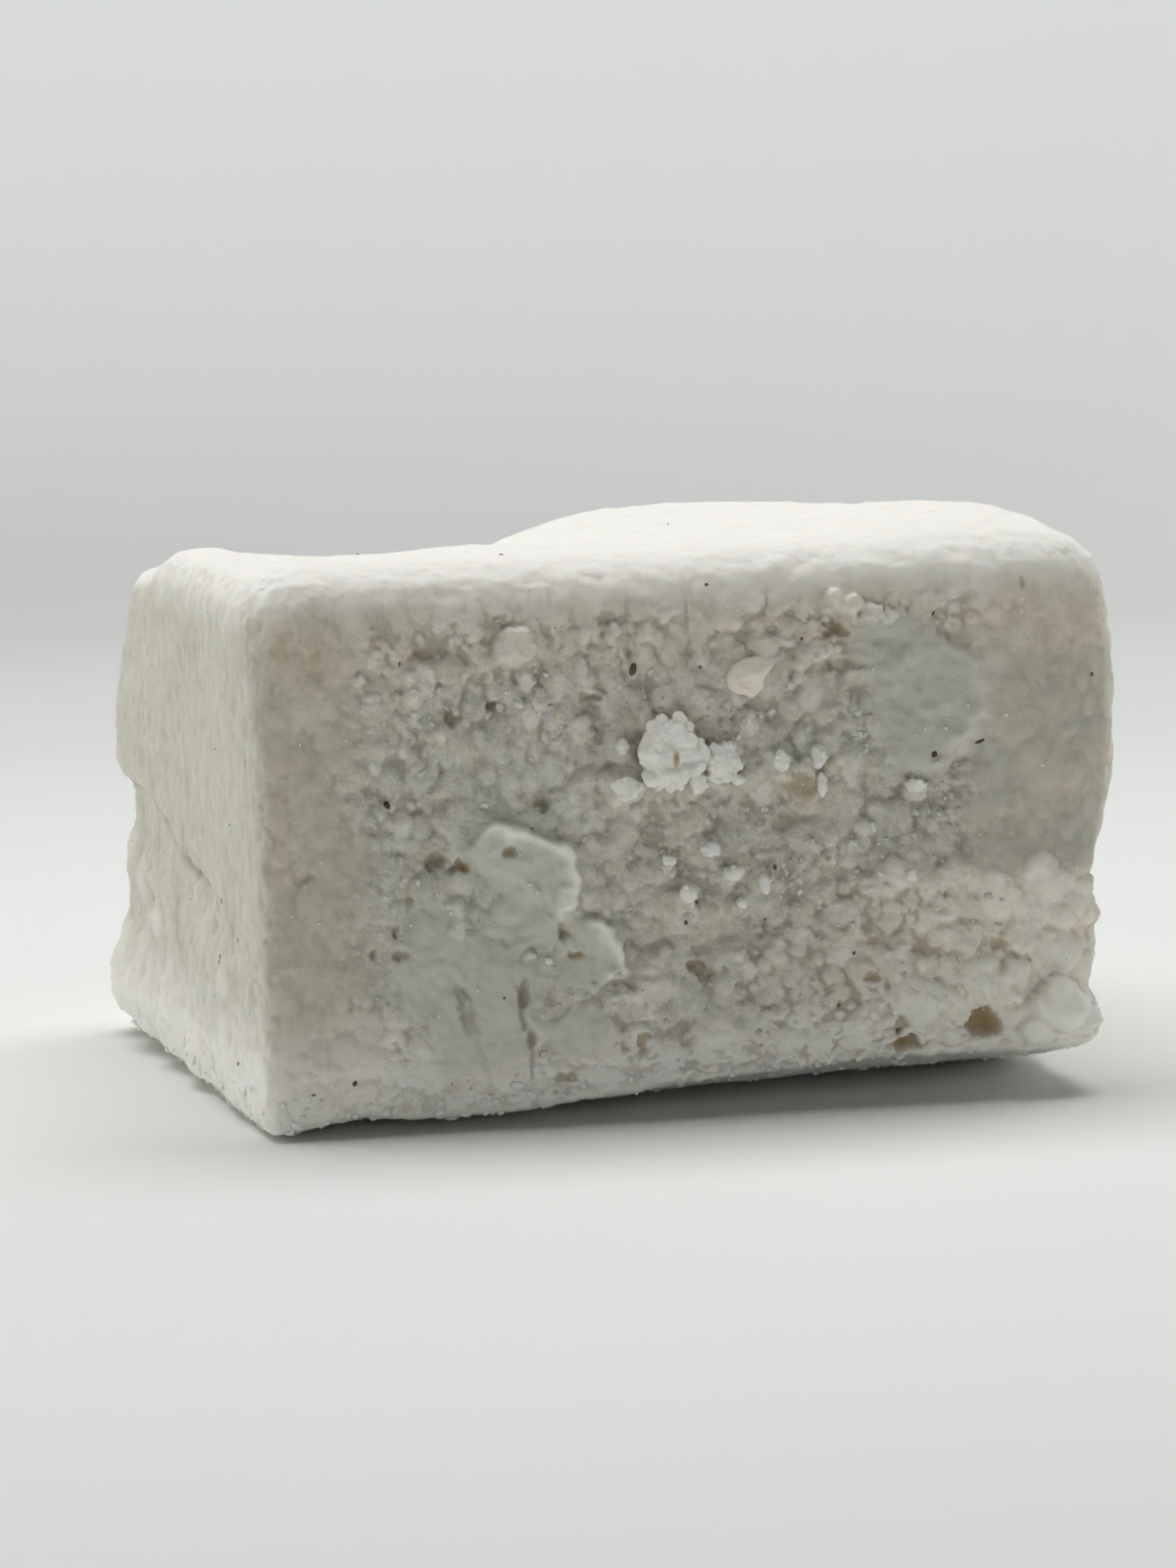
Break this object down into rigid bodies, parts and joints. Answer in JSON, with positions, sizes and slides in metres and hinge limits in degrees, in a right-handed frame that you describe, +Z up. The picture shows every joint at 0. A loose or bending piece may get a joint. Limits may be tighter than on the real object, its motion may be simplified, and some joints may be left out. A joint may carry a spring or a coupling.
{
  "type": "marshmallow",
  "caption": "Hand-cut block of vanilla marshmallow with a smooth cut front, soft rounded edges and a rough, lumpy foot; a sweet to eat or toast.",
  "frame": {"origin": "middle of the flat underside, which the block rests on", "axes": "+Z up; X runs along the smooth cut front face, which faces -Y; the crisp upright edge is at -X, -Y"},
  "size_m": [0.0418, 0.041, 0.0267],
  "materials": {
    "marshmallow": "matte",
    "sugar_crust": "matte",
    "vanilla_seed": "matte"
  },
  "bodies": {
    "root": {"marshmallow": "marshmallow"}
  },
  "joints": []
}
